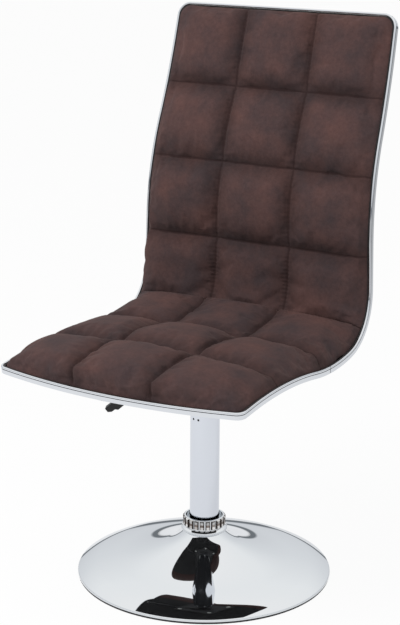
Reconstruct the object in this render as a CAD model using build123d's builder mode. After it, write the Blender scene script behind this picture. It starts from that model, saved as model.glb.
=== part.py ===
from build123d import *
from math import asin, cos, degrees, radians, sin, sqrt
import os

# A swivel dining chair: a quilted L-shaped seat shell with a chrome edge trim, on a gas lift
# that stands in a chromed trumpet base. Millimetres, +Z up, the chair faces -Y. The origin is
# on the floor, on the column's axis.

# --- Base: spun steel trumpet, rim ring, ballast plate ---
base_radius = 220.0
rim_ring_height = 4.0
rim_ring_width = 14.0
rim_ring_setback = 0.8
rim_ring_round = 1.0
rim_skirt_height = 1.5
rim_edge_radius = 3.0
rim_edge_slope = 30.0
rim_roll_radius = 116.0
apron_outer_slope = 13.0
apron_radius = 540.0
apron_inner_slope = 9.0
sweep_radius = 337.0
neck_slope = 24.0
neck_radius = 75.0
neck_top_slope = 55.0
shoulder_blend_radius = 6.0
shoulder_edge_radius = 3.0
trumpet_wall = 1.5
ballast_setback = 8.0
ballast_thickness = 5.0
plate_fit = 0.2

# --- Stand tube, its foot and its guide bush ---
tube_radius = 25.4
tube_wall = 1.5
tube_top = 303.0
tube_foot_height = 11.0
tube_foot_thickness = 3.0
bush_length = 68.0
bush_flange = 2.0
bush_lead_in = 1.5
punch_radius = 2.0
punch_depth = 1.0
punch_drop = 20.0
punch_angles = (-109.5, -86.0)

# --- Collar ring with its row of cut stones ---
collar_wall = 3.0
collar_height = 19.0
collar_lip_radius = 3.0
collar_lip_drop = 4.6
collar_lip_reach = 0.4
collar_wall_offset = 1.1
collar_wall_foot = 0.6
collar_seat_gap = 0.3
stone_count = 22
stone_width = 8.2
stone_height = 16.0
stone_rise = 2.4
stone_bevel = 2.2
stone_sink = 0.5

# --- Gas lift ---
cylinder_radius = 14.0
cylinder_wall = 1.5
cylinder_taper_radius = 13.2
taper_length = 34.0
cylinder_top = 352.0
lift_stroke = 120.0
rod_radius = 5.0
rod_journal_radius = 4.0
piston_thickness = 12.0
piston_fit = 0.3
piston_chamfer = 1.0
gland_length = 20.0
valve_length = 26.0
running_fit = 0.08
bumper_radius = 12.0
bumper_length = 16.0
washer_radius = 14.0
washer_thickness = 2.0
ball_radius = 2.5
ball_count = 9
ball_circle_radius = 9.5
ball_gap = 0.05
cage_thickness = 2.4
clip_radius = 9.0
clip_thickness = 1.5
clip_opening = 6.0
pin_radius = 3.0
pin_length = 20.0
pin_rise = 9.5
pin_bore_room = 5.0
lift_rest_gap = 0.3
piston_room = 3.0
sleeve_fit = 0.1
clip_drop = 0.1
clip_depth = 1.0
journal_end = 3.0

# --- Seat plate, its housing and the height lever ---
plate_top = 385.0
plate_size = 156.0
plate_thickness = 3.0
plate_corner = 14.0
bolt_spacing_x = 120.0
bolt_spacing_y = 120.0
bolt_radius = 4.0
bolt_head_width = 13.0
bolt_head_height = 5.3
bolt_clearance = 0.4
bolt_cover = 1.5
bolt_washer_radius = 8.0
bolt_washer_thickness = 1.6
tee_nut_radius = 5.2
tee_nut_length = 4.5
housing_depth = 32.0
housing_length = 76.0
housing_width = 44.0
housing_wall = 2.5
housing_offset = 8.0
socket_radius = 19.0
socket_wall_gap = 1.0
plate_flange = 6.0
block_margin = 4.0
lever_angle = 207.6
lever_pivot_reach = 24.0
lever_arm_height = 7.0
lever_arm_width = 8.0
lever_arm_overhang = 4.0
lever_rod_radius = 4.0
lever_pin_gap = 0.6
pivot_radius = 2.5
lever_level_length = 21.5
lever_bend_radius = 22.0
lever_droop = 39.0
lever_rod_length = 62.0
lever_lift = 8.0
handle_length = 74.0
handle_root_width = 13.0
handle_root_height = 12.0
handle_tip_width = 16.0
handle_height = 16.0
handle_tip_height = 12.0
handle_tip_length = 17.0
handle_tip_bevel = 6.0
handle_step_length = 4.0
handle_round = 1.5
handle_overlap = 20.0
slot_gap = 1.2

# --- Seat shell: one bent board, traced along the bead line of its edge trim ---
shell_width = 455.0
front_reach = 295.0
front_height = 402.6
nose_rise = 7.0
nose_length = 58.0
thigh_radius = 760.0
thigh_turn = 15.5
dip_radius = 356.0
dip_turn = 19.9
heel_radius = 91.0
riser_length = 79.0
lumbar_radius = 484.0
lumbar_turn = 21.5
shoulder_radius = 1290.0
shoulder_turn = 7.0
front_bow_radius = 874.0
front_corner_radius = 28.0
top_width = 426.0
top_height = 950.0
top_corner_radius = 33.0
taper_start = 430.0
taper_blend_radius = 1500.0
board_thickness = 7.0
board_setback = 3.0
cover_thickness = 2.5
cover_split = 385.0
edge_fit = 0.2

# --- Edge trim and piping ---
trim_thickness = 1.6
trim_depth = 12.8
bead_radius = 2.4
bead_proud = 0.6
bead_round = 2.1
bead_edge_least = 7.0
trim_joint_distance = 313.0
trim_joint_gap = 0.8
piping_width = 3.8
piping_rise = 1.6
piping_fit = 0.3

# --- Quilted pads ---
pad_fit = 0.3
pad_edge_gap = 0.4
seat_seams = (143.0, 292.0)
crease_distance = 446.0
back_first_row = 125.0
back_even_rows = 3
pad_top_gap = 6.0
pad_columns = 3
seat_seam_height = 29.0
seat_valley_height = 34.0
seat_seam_crown = 3.0
seat_crown = 9.0
seat_side_heights = (9.0, 12.0, 21.0, 13.0)
seat_side_rises = (3.0, 1.0, 9.0)
seat_nose_height = 45.0
seat_nose_roll = 20.0
back_seam_height = 10.0
back_valley_height = 13.0
back_seam_crown = 2.0
back_crown = 9.0
back_side_heights = (12.0, 9.0, 6.0, 5.0, 5.0)
back_side_rises = (8.0, 5.0, 5.0, 5.0)
pad_draw_in = 2.5
pad_side_bulge = 1.5
pad_shoulder = 12.0
pad_root = 8.0
pad_headroom = 60.0
row_stations = (0.0, 0.1, 0.28, 0.5, 0.72, 0.9)

os.makedirs("parts", exist_ok=True)


def save(part, name):
    part.label = name
    export_step(part, f"parts/{name}.step")


# --- Paths made of straight runs and tangent arcs, each step (radius, turn) or (length, 0) ---


def path_state(start, heading, steps, distance):
    """The point and heading reached after a distance along the steps."""
    x, y = start
    for size, turn in steps:
        length = size if turn == 0 else size * radians(abs(turn))
        travel = min(distance, length)
        if turn == 0:
            x += travel * cos(radians(heading))
            y += travel * sin(radians(heading))
        else:
            side = 1 if turn > 0 else -1
            angle = degrees(travel / size) * side
            x += side * size * (sin(radians(heading + angle)) - sin(radians(heading)))
            y -= side * size * (cos(radians(heading + angle)) - cos(radians(heading)))
            heading += angle
        distance -= travel
        if distance <= 0:
            break
    return (x, y), heading


def path_length(steps):
    return sum(size if turn == 0 else size * radians(abs(turn)) for size, turn in steps)


def draw_path(start, heading, steps, offset):
    """Draw the steps as lines and arcs, moved to the left by the offset; return both ends."""
    x = start[0] - offset * sin(radians(heading))
    y = start[1] + offset * cos(radians(heading))
    first = (x, y)
    for size, turn in steps:
        direction = (cos(radians(heading)), sin(radians(heading)))
        if turn == 0:
            run = Line((x, y), (x + size * direction[0], y + size * direction[1]))
        else:
            radius = size - offset if turn > 0 else size + offset
            run = JernArc((x, y), direction, radius, turn)
        end = run @ 1
        x, y = end.X, end.Y
        heading += turn
    return first, (x, y)


# --- The shell's outline: a side profile, a plan with a bowed front, and a tapered back ---

path_lead = 20.0
heel_turn = 90.0 - nose_rise + thigh_turn - dip_turn
shell_start = (-front_reach, front_height)
shell_steps = [
    (nose_length, 0),
    (thigh_radius, -thigh_turn),
    (dip_radius, dip_turn),
    (heel_radius, heel_turn),
    (riser_length, 0),
    (lumbar_radius, -lumbar_turn),
    (shoulder_radius, shoulder_turn),
]
(_, head_bottom), head_angle = path_state(shell_start, nose_rise, shell_steps, path_length(shell_steps))
# the head runs on past a low top edge too, where the outline cuts the curve off
head_length = max(path_lead, (top_height - head_bottom) / sin(radians(head_angle)))
shell_steps.append((head_length, 0))


def shell_plane(distance):
    """A section plane across the shell: X is the chair's X, Y points out of the upholstery."""
    (y, z), heading = path_state(shell_start, nose_rise, shell_steps, distance)
    tangent = (0, cos(radians(heading)), sin(radians(heading)))
    return Plane(origin=(0, y, z), x_dir=(1, 0, 0), z_dir=(0, -tangent[1], -tangent[2]))


def find_distance(near, far, axis, value):
    """Where, between two distances along the bead line, its Y (axis 0) or Z (axis 1) has a value."""
    for _ in range(40):
        middle = (near + far) / 2
        if path_state(shell_start, nose_rise, shell_steps, middle)[0][axis] < value:
            near = middle
        else:
            far = middle
    return near


seat_end = path_length(shell_steps[:3])
heel_end = path_length(shell_steps[:4])
top_distance = find_distance(heel_end, path_length(shell_steps), 1, top_height)


def shell_height_at(y, offset):
    """The height of a layer of the seat, given by its offset from the bead line, at this Y."""
    (_, z), heading = path_state(shell_start, nose_rise, shell_steps, find_distance(0.0, seat_end, 0, y))
    return z + offset / cos(radians(heading))


def half_width_at(z):
    """Half the shell's width at a height: constant on the seat, tapering up the back."""
    share = max(0.0, (z - taper_start) / (top_height - taper_start))
    return shell_width / 2 - share * (shell_width - top_width) / 2


nose_normal = Vector(0, -sin(radians(nose_rise)), cos(radians(nose_rise)))
nose_plane = Plane(origin=(0, *shell_start), x_dir=(1, 0, 0), z_dir=nose_normal)
nose_normal_axis = Axis((0, 0, 0), nose_normal)
cut_reach = 700.0
cut_below = 80.0


def draw_plan(inset):
    """The seat's plan in the nose plane: a bowed front, round corners and straight sides."""
    half = shell_width / 2 - inset
    bow = front_bow_radius - inset
    corner = front_corner_radius - inset
    bow_end = asin((half - corner) / (bow - corner))
    right = (bow * sin(bow_end), inset + bow * (1 - cos(bow_end)))
    left = (-right[0], right[1])
    corner_turn = 90 - degrees(bow_end)
    ThreePointArc(left, (0, inset), right)
    right_corner = JernArc(right, (cos(bow_end), sin(bow_end)), corner, corner_turn)
    left_corner = JernArc(left, (-cos(bow_end), sin(bow_end)), corner, -corner_turn)
    Polyline(right_corner @ 1, (half, cut_reach), (-half, cut_reach), left_corner @ 1)


def draw_back(inset):
    """The shell seen from the front: straight beside the seat, then tapering to a round top."""
    half = shell_width / 2 - inset
    top = top_height - inset
    top_half = half_width_at(top) - inset
    blend = taper_blend_radius
    corner = top_corner_radius - inset
    sides = [(half, 0), (half, taper_start), (top_half, top)]
    mirrored = [(-x, z) for x, z in reversed(sides)]
    FilletPolyline(*sides, *mirrored, radius=[blend, corner, corner, blend])
    Line(mirrored[-1], sides[0])


def shell_layer(inset, low, high):
    """One layer of the shell between two offsets from the bead line, set in from its edge."""
    lead = path_state(shell_start, nose_rise, [(-path_lead, 0)], -path_lead)[0]
    steps = [(nose_length + path_lead, 0), *shell_steps[1:-1], (head_length + path_lead, 0)]
    with BuildPart() as layer:
        with BuildSketch(Plane.YZ):
            with BuildLine():
                low_start, low_end = draw_path(lead, nose_rise, steps, low)
                high_start, high_end = draw_path(lead, nose_rise, steps, high)
                Line(low_start, high_start)
                Line(low_end, high_end)
            make_face()
        extrude(amount=shell_width, both=True)
        with BuildSketch(nose_plane.offset(-cut_below)):
            with BuildLine():
                draw_plan(inset)
            make_face()
        extrude(amount=cut_reach, mode=Mode.INTERSECT)
        with BuildSketch(Plane.XZ):
            with BuildLine():
                draw_back(inset)
            make_face()
        extrude(amount=cut_reach, both=True, mode=Mode.INTERSECT)
    return layer.part


# --- Spun trumpet: one profile from the rim up to the shoulder that the collar sits on ---

trumpet_start = (base_radius, rim_ring_height)
trumpet_steps = [
    (rim_skirt_height, 0),
    (rim_edge_radius, 90.0 - rim_edge_slope),
    (rim_roll_radius, rim_edge_slope - apron_outer_slope),
    (apron_radius, apron_outer_slope - apron_inner_slope),
    (sweep_radius, apron_inner_slope - neck_slope),
    (neck_radius, neck_slope - neck_top_slope),
    (shoulder_blend_radius, neck_top_slope - 90.0),
    (shoulder_edge_radius, 90.0),
]
neck_steps = trumpet_steps[:-1]
(shoulder_radius_out, shoulder_low), _ = path_state(trumpet_start, 90.0, neck_steps, path_length(neck_steps))
(shoulder_flat_radius, shoulder_height), _ = path_state(
    trumpet_start, 90.0, trumpet_steps, path_length(trumpet_steps)
)
tube_hole = tube_radius + plate_fit
trumpet_steps.append((shoulder_flat_radius - tube_hole, 0))

with BuildPart() as base_trumpet:
    with BuildSketch(Plane.XZ):
        with BuildLine():
            outer_start, outer_end = draw_path(trumpet_start, 90.0, trumpet_steps, 0)
            inner_start, inner_end = draw_path(trumpet_start, 90.0, trumpet_steps, trumpet_wall)
            Line(outer_start, inner_start)
            Line(outer_end, inner_end)
        make_face()
    revolve(axis=Axis.Z)
save(base_trumpet.part, "base_trumpet")

# A flat moulded ring under the rim; the ballast plate lies on its inner part.
ring_radius = base_radius - rim_ring_setback
ring_inner_radius = ring_radius - rim_ring_width
with BuildPart() as rim_ring:
    Cylinder(ring_radius, rim_ring_height, align=(Align.CENTER, Align.CENTER, Align.MIN))
    Cylinder(
        ring_inner_radius,
        rim_ring_height,
        align=(Align.CENTER, Align.CENTER, Align.MIN),
        mode=Mode.SUBTRACT,
    )
    fillet(rim_ring.edges().group_by(Axis.Z)[0].sort_by(SortBy.LENGTH)[-1], rim_ring_round)
save(rim_ring.part, "rim_ring")

ballast_radius = base_radius - ballast_setback
with BuildPart() as ballast_plate:
    with BuildSketch(Plane.XY.offset(rim_ring_height)):
        Circle(ballast_radius)
        Circle(tube_hole, mode=Mode.SUBTRACT)
    extrude(amount=ballast_thickness)
save(ballast_plate.part, "ballast_plate")

# --- Column: stand tube, welded foot, plastic guide bush, decorative collar ---

tube_bottom = rim_ring_height
tube_bore = tube_radius - tube_wall
with BuildPart() as stand_tube:
    with BuildSketch(Plane.XY.offset(tube_bottom)):
        Circle(tube_radius)
        Circle(tube_bore, mode=Mode.SUBTRACT)
    extrude(amount=tube_top - tube_bottom)
    # two small punch marks that hold the guide bush
    for angle in punch_angles:
        direction = Vector(cos(radians(angle)), sin(radians(angle)), 0)
        mark = direction * (tube_radius - punch_depth) + Vector(0, 0, tube_top - punch_drop)
        with BuildSketch(Plane(origin=mark, z_dir=direction)):
            Circle(punch_radius)
        extrude(amount=2 * punch_depth, mode=Mode.SUBTRACT)
save(stand_tube.part, "stand_tube")

journal_hole = rod_journal_radius + running_fit
foot_top = tube_foot_height + tube_foot_thickness
with BuildPart() as tube_foot:
    with BuildSketch(Plane.XY.offset(tube_foot_height)):
        Circle(tube_bore - sleeve_fit)
        Circle(journal_hole, mode=Mode.SUBTRACT)
    extrude(amount=tube_foot_thickness)
save(tube_foot.part, "tube_foot")

bush_bore = cylinder_radius + running_fit
with BuildPart() as guide_bush:
    with BuildSketch(Plane.XY.offset(tube_top - bush_length)):
        Circle(tube_bore - sleeve_fit)
    extrude(amount=bush_length)
    with BuildSketch(Plane.XY.offset(tube_top)):
        Circle(tube_radius)
    extrude(amount=bush_flange)
    with BuildSketch(Plane.XY.offset(tube_top - bush_length)):
        Circle(bush_bore)
    extrude(amount=bush_length + bush_flange, mode=Mode.SUBTRACT)
    bush_rims = guide_bush.edges().filter_by(GeomType.CIRCLE).group_by(SortBy.RADIUS)[0]
    chamfer(bush_rims, bush_lead_in)
    top_rims = guide_bush.faces().sort_by(Axis.Z)[-1].edges().filter_by(GeomType.CIRCLE)
    chamfer(top_rims.sort_by(SortBy.RADIUS)[-1], bush_flange / 2)
save(guide_bush.part, "guide_bush")

# The collar drops over the neck: a wall standing on the shoulder and a round lip hanging outside it.
collar_base = shoulder_height + collar_seat_gap
collar_top = collar_base + collar_height
skirt_inner = shoulder_radius_out + collar_seat_gap
collar_outer = skirt_inner + collar_wall_offset
collar_inner = collar_outer - collar_wall
lip_center = (skirt_inner + collar_lip_reach + collar_lip_radius, collar_base - collar_lip_drop)
with BuildPart() as collar_ring:
    with BuildSketch(Plane.XZ):
        with BuildLine():
            lip = CenterArc(lip_center, collar_lip_radius, 180, 225)
            Line(lip @ 0, (skirt_inner, collar_base))
            Polyline(
                (skirt_inner, collar_base),
                (collar_inner, collar_base),
                (collar_inner, collar_top),
                (collar_outer, collar_top),
                (collar_outer, collar_base + collar_wall_foot),
                lip @ 1,
            )
        make_face()
    revolve(axis=Axis.Z)
    fillet(collar_ring.edges().group_by(Axis.Z)[-1], collar_wall / 3)
save(collar_ring.part, "collar_ring")

stone_middle = (collar_base + collar_wall_foot + collar_top) / 2
with BuildPart() as collar_stones:
    for index in range(stone_count):
        angle = 360 / stone_count * index
        direction = Vector(cos(radians(angle)), sin(radians(angle)), 0)
        foot = direction * collar_outer + Vector(0, 0, stone_middle)
        stone_plane = Plane(origin=foot, x_dir=(-direction.Y, direction.X, 0), z_dir=direction)
        with BuildSketch(stone_plane.offset(-stone_sink)):
            Rectangle(stone_width, stone_height)
        with BuildSketch(stone_plane.offset(stone_rise / 3)):
            Rectangle(stone_width, stone_height)
        with BuildSketch(stone_plane.offset(stone_rise)):
            Rectangle(stone_width - 2 * stone_bevel, stone_height - 2 * stone_bevel)
        loft(ruled=True)
    Cylinder(collar_outer, 2 * collar_top, mode=Mode.SUBTRACT)
save(collar_stones.part, "collar_stones")

# --- Thrust bearing at the foot: washers, caged balls, clip, rubber bumper ---

low_washer_top = foot_top + washer_thickness
ball_height = low_washer_top + ball_gap + ball_radius
high_washer_bottom = ball_height + ball_radius + ball_gap
high_washer_top = high_washer_bottom + washer_thickness
bumper_top = high_washer_top + bumper_length


def flat_ring(outer, inner, bottom, thickness):
    with BuildPart() as ring:
        with BuildSketch(Plane.XY.offset(bottom)):
            Circle(outer)
            Circle(inner, mode=Mode.SUBTRACT)
        extrude(amount=thickness)
    return ring.part


save(flat_ring(washer_radius, rod_radius, foot_top, washer_thickness), "thrust_washer_lower")
save(
    flat_ring(washer_radius, rod_journal_radius + sleeve_fit, high_washer_bottom, washer_thickness),
    "thrust_washer_upper",
)

with BuildPart() as thrust_balls:
    with PolarLocations(ball_circle_radius, ball_count):
        with Locations((0, 0, ball_height)):
            Sphere(ball_radius)
save(thrust_balls.part, "thrust_balls")

with BuildPart() as ball_cage:
    with BuildSketch(Plane.XY.offset(ball_height - cage_thickness / 2)):
        Circle(washer_radius - sleeve_fit)
        Circle(rod_radius + sleeve_fit, mode=Mode.SUBTRACT)
        with PolarLocations(ball_circle_radius, ball_count):
            Circle(ball_radius + sleeve_fit, mode=Mode.SUBTRACT)
    extrude(amount=cage_thickness)
save(ball_cage.part, "ball_cage")

save(flat_ring(bumper_radius, rod_radius + sleeve_fit, high_washer_top, bumper_length), "rubber_bumper")

clip_top = tube_foot_height - clip_drop
clip_bottom = clip_top - clip_thickness
groove_radius = rod_journal_radius - clip_depth
with BuildPart() as retaining_clip:
    with BuildSketch(Plane.XY.offset(clip_bottom)):
        Circle(clip_radius)
        Circle(groove_radius + sleeve_fit, mode=Mode.SUBTRACT)
        with Locations((clip_radius / 2 + groove_radius / 2, 0)):
            Rectangle(clip_radius + groove_radius, clip_opening, mode=Mode.SUBTRACT)
    extrude(amount=clip_thickness)
save(retaining_clip.part, "retaining_clip")

# --- Gas spring: rod and piston stay with the foot, the pressure cylinder rises with the seat ---

cylinder_bottom = bumper_top + lift_rest_gap
cylinder_bore = cylinder_radius - cylinder_wall
piston_bottom = cylinder_bottom + gland_length + lift_stroke + piston_room
piston_top = piston_bottom + piston_thickness
rod_end = clip_bottom - journal_end
with BuildPart() as piston_rod:
    with BuildSketch(Plane.XZ):
        with BuildLine():
            Polyline(
                (0, rod_end),
                (rod_journal_radius, rod_end),
                (rod_journal_radius, clip_bottom - sleeve_fit),
                (groove_radius, clip_bottom - sleeve_fit),
                (groove_radius, clip_top + sleeve_fit / 2),
                (rod_journal_radius, clip_top + sleeve_fit / 2),
                (rod_journal_radius, high_washer_top),
                (rod_radius, high_washer_top),
                (rod_radius, piston_top),
                (0, piston_top),
                close=True,
            )
        make_face()
    revolve(axis=Axis.Z)
    chamfer(piston_rod.edges().group_by(Axis.Z)[0], clip_depth / 2)
save(piston_rod.part, "piston_rod")

with BuildPart() as gas_piston:
    with BuildSketch(Plane.XY.offset(piston_bottom)):
        Circle(cylinder_bore - piston_fit)
        Circle(rod_radius + sleeve_fit, mode=Mode.SUBTRACT)
    extrude(amount=piston_thickness)
    piston_rims = gas_piston.edges().filter_by(GeomType.CIRCLE).sort_by(SortBy.RADIUS)
    chamfer(piston_rims[-2:], piston_chamfer)
save(gas_piston.part, "gas_piston")

taper_bottom = cylinder_top - taper_length
valve_bottom = cylinder_top - valve_length
with BuildPart() as pressure_cylinder:
    with BuildSketch(Plane.XZ):
        with BuildLine():
            Polyline(
                (cylinder_bore, cylinder_bottom),
                (cylinder_radius, cylinder_bottom),
                (cylinder_radius, taper_bottom),
                (cylinder_taper_radius, cylinder_top),
                (cylinder_bore, cylinder_top),
                close=True,
            )
        make_face()
    revolve(axis=Axis.Z)
save(pressure_cylinder.part, "pressure_cylinder")

save(
    flat_ring(cylinder_bore - sleeve_fit, rod_radius + running_fit, cylinder_bottom, gland_length),
    "rod_gland",
)

pin_top = cylinder_top + pin_rise
pin_bottom = pin_top - pin_length
with BuildPart() as valve_block:
    with BuildSketch(Plane.XY.offset(valve_bottom)):
        Circle(cylinder_bore - sleeve_fit)
    extrude(amount=valve_length)
    with BuildSketch(Plane.XY.offset(pin_bottom - pin_bore_room)):
        Circle(pin_radius + running_fit)
    extrude(amount=pin_length, mode=Mode.SUBTRACT)
save(valve_block.part, "valve_block")

with BuildPart() as release_pin:
    with BuildSketch(Plane.XY.offset(pin_bottom)):
        Circle(pin_radius)
    extrude(amount=pin_length)
    chamfer(release_pin.edges().group_by(Axis.Z)[-1], pin_radius / 3)
save(release_pin.part, "release_pin")

# --- Seat shell, its linings and the block that makes a level seat for the plate ---

board_front = -board_setback
board_rear = board_front - board_thickness
cover_front = board_rear - edge_fit
cover_rear = cover_front - cover_thickness
shell_inset = trim_thickness + edge_fit
split_plane = shell_plane(cover_split)

bolt_points = [
    (side * bolt_spacing_x / 2, end * bolt_spacing_y / 2) for side in (-1, 1) for end in (-1, 1)
]
bolt_hole = bolt_radius + bolt_clearance
plate_bottom = plate_top - plate_thickness


def bolt_drills(radius):
    """Four upright rods at the bolt points, taken out of the parts they pass through."""
    with BuildPart() as drills:
        with BuildSketch(Plane.XY.offset(plate_bottom - bolt_head_height)):
            with Locations(*bolt_points):
                Circle(radius)
        extrude(amount=cut_below)
    return drills.part


with BuildPart() as shell_board:
    add(shell_layer(shell_inset, board_rear, board_front))
    add(bolt_drills(tee_nut_radius + edge_fit), mode=Mode.SUBTRACT)
save(shell_board.part, "shell_board")

cover_layer = shell_layer(shell_inset, cover_rear, cover_front)
with BuildPart() as underside_lining:
    add(cover_layer)
    split(bisect_by=split_plane, keep=Keep.TOP)
    add(bolt_drills(bolt_hole), mode=Mode.SUBTRACT)
save(underside_lining.part, "underside_lining")

with BuildPart() as back_cover:
    add(cover_layer)
    split(bisect_by=split_plane, keep=Keep.BOTTOM)
save(back_cover.part, "back_cover")

block_size = plate_size + 2 * block_margin
with BuildPart() as mounting_block:
    with BuildSketch(Plane.XY.offset(plate_top)):
        RectangleRounded(block_size, block_size, plate_corner)
    extrude(amount=cut_below)
    add(shell_layer(shell_inset + block_margin, cover_rear - cut_below, cover_rear), mode=Mode.INTERSECT)
    add(bolt_drills(bolt_hole), mode=Mode.SUBTRACT)
save(mounting_block.part, "mounting_block")

with BuildPart() as tee_nuts:
    for x, y in bolt_points:
        nut_top = shell_height_at(y, board_front) - bolt_cover
        with BuildSketch(Plane.XY.offset(nut_top - tee_nut_length)):
            with Locations((x, y)):
                Circle(tee_nut_radius)
                Circle(bolt_radius + sleeve_fit, mode=Mode.SUBTRACT)
        extrude(amount=tee_nut_length)
save(tee_nuts.part, "tee_nuts")

# --- Seat plate, lever housing, socket, bolts ---

lever_axis = Vector(cos(radians(lever_angle)), sin(radians(lever_angle)), 0)
housing_plane = Plane(origin=(0, 0, plate_bottom - housing_depth), x_dir=lever_axis, z_dir=(0, 0, 1))
lever_plane = Plane(origin=(0, 0, 0), x_dir=lever_axis, z_dir=lever_axis.cross(Vector(0, 0, 1)))
arm_bottom = pin_top + lever_pin_gap
arm_middle = arm_bottom + lever_arm_height / 2
arm_end = housing_length / 2 + housing_offset - housing_wall - slot_gap
wall_reach = housing_length / 2 + housing_offset
rod_rise = (wall_reach - lever_pivot_reach) * sin(radians(lever_lift))
top_bore = cylinder_taper_radius + edge_fit + sleeve_fit

with BuildPart() as seat_plate:
    with BuildSketch(Plane.XY.offset(plate_bottom)):
        RectangleRounded(plate_size, plate_size, plate_corner)
    extrude(amount=plate_thickness)
    with BuildSketch(Plane.XY.offset(plate_bottom - plate_flange)):
        RectangleRounded(plate_size, plate_size, plate_corner)
        inner_size = plate_size - 2 * plate_thickness
        RectangleRounded(inner_size, inner_size, plate_corner - plate_thickness, mode=Mode.SUBTRACT)
    extrude(amount=plate_flange)
    add(bolt_drills(bolt_hole), mode=Mode.SUBTRACT)
save(seat_plate.part, "seat_plate")

with BuildPart() as lever_housing:
    with BuildSketch(housing_plane):
        with Locations((housing_offset, 0)):
            RectangleRounded(housing_length, housing_width, housing_wall * 2)
    extrude(amount=housing_depth)
    with BuildSketch(housing_plane.offset(housing_wall)):
        with Locations((housing_offset, 0)):
            RectangleRounded(
                housing_length - 2 * housing_wall, housing_width - 2 * housing_wall, housing_wall
            )
    extrude(amount=housing_depth, mode=Mode.SUBTRACT)
    with BuildSketch(housing_plane):
        Circle(top_bore)
    extrude(amount=housing_wall, mode=Mode.SUBTRACT)
    # window for the lever, tall enough for its lift
    window_middle = lever_axis * (wall_reach - 2 * housing_wall) + Vector(0, 0, arm_middle + rod_rise / 2)
    with BuildSketch(Plane(origin=window_middle, x_dir=lever_plane.z_dir, z_dir=lever_axis)):
        window_width = 2 * (lever_rod_radius + slot_gap)
        Rectangle(window_width, window_width + rod_rise)
    extrude(amount=3 * housing_wall, mode=Mode.SUBTRACT)
    with BuildSketch(lever_plane.offset(-housing_width)):
        with Locations((lever_pivot_reach, arm_middle)):
            Circle(pivot_radius + sleeve_fit)
    extrude(amount=2 * housing_width, mode=Mode.SUBTRACT)
save(lever_housing.part, "lever_housing")

socket_bottom = taper_bottom + socket_wall_gap
socket_top = plate_bottom - housing_depth


def taper_radius_at(z):
    share = (z - taper_bottom) / taper_length
    return cylinder_radius + share * (cylinder_taper_radius - cylinder_radius)


with BuildPart() as hub_socket:
    with BuildSketch(Plane.XZ):
        with BuildLine():
            Polyline(
                (taper_radius_at(socket_bottom) + sleeve_fit, socket_bottom),
                (socket_radius - socket_wall_gap, socket_bottom),
                (socket_radius, socket_bottom + socket_wall_gap),
                (socket_radius, socket_top),
                (taper_radius_at(socket_top) + sleeve_fit, socket_top),
                close=True,
            )
        make_face()
    revolve(axis=Axis.Z)
save(hub_socket.part, "hub_socket")

with BuildPart() as mounting_bolts:
    for x, y in bolt_points:
        bolt_top = shell_height_at(y, board_front) - 2 * bolt_cover
        with BuildSketch(Plane.XY.offset(plate_bottom - bolt_washer_thickness - bolt_head_height)):
            with Locations((x, y)):
                RegularPolygon(bolt_head_width / 2, 6, major_radius=False)
        extrude(amount=bolt_head_height)
        with BuildSketch(Plane.XY.offset(plate_bottom - bolt_washer_thickness)):
            with Locations((x, y)):
                Circle(bolt_radius)
        extrude(amount=bolt_top - plate_bottom + bolt_washer_thickness)
save(mounting_bolts.part, "mounting_bolts")

with BuildPart() as bolt_washers:
    with BuildSketch(Plane.XY.offset(plate_bottom - bolt_washer_thickness)):
        with Locations(*bolt_points):
            Circle(bolt_washer_radius)
            Circle(bolt_radius + sleeve_fit, mode=Mode.SUBTRACT)
    extrude(amount=bolt_washer_thickness)
save(bolt_washers.part, "bolt_washers")

# --- Height lever: flat arm over the pin, bent rod, moulded handle ---

rod_start = arm_end - slot_gap
level_end = rod_start + lever_level_length
droop = radians(lever_droop)
bend_end = (level_end + lever_bend_radius * sin(droop), arm_middle - lever_bend_radius * (1 - cos(droop)))
rod_tip = (bend_end[0] + lever_rod_length * cos(droop), bend_end[1] - lever_rod_length * sin(droop))

with BuildPart() as lever_rod:
    with BuildSketch(lever_plane.offset(-lever_arm_width / 2)):
        with Locations(((arm_end - lever_arm_overhang) / 2, arm_middle)):
            Rectangle(arm_end + lever_arm_overhang, lever_arm_height)
        with Locations((lever_pivot_reach, arm_middle)):
            Circle(pivot_radius + running_fit, mode=Mode.SUBTRACT)
    extrude(amount=lever_arm_width)
    with BuildLine(lever_plane) as rod_path:
        Line((rod_start, arm_middle), (level_end, arm_middle))
        JernArc((level_end, arm_middle), (1, 0), lever_bend_radius, -lever_droop)
        Line(bend_end, rod_tip)
    rod_origin = lever_plane.from_local_coords((rod_start, arm_middle, 0))
    with BuildSketch(Plane(origin=rod_origin, z_dir=lever_axis)):
        Circle(lever_rod_radius)
    sweep()
save(lever_rod.part, "lever_rod")

with BuildPart() as pivot_pin:
    with BuildSketch(lever_plane.offset(-housing_width / 2)):
        with Locations((lever_pivot_reach, arm_middle)):
            Circle(pivot_radius)
    extrude(amount=housing_width)
save(pivot_pin.part, "pivot_pin")

# The handle is drawn along the drooping rod: X runs outwards, Y is the handle's upper side.
handle_root = lever_plane.from_local_coords(
    (rod_tip[0] - handle_overlap * cos(droop), rod_tip[1] + handle_overlap * sin(droop), 0)
)
droop_axis = lever_axis * cos(droop) - Vector(0, 0, 1) * sin(droop)
handle_plane = Plane(origin=handle_root, x_dir=droop_axis, z_dir=lever_plane.z_dir)
handle_top_plane = Plane(origin=handle_root, x_dir=droop_axis, z_dir=lever_plane.z_dir.cross(droop_axis))
handle_half = handle_height / 2
tip_root = handle_length - handle_tip_length
tip_low = handle_half - handle_tip_height


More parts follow.
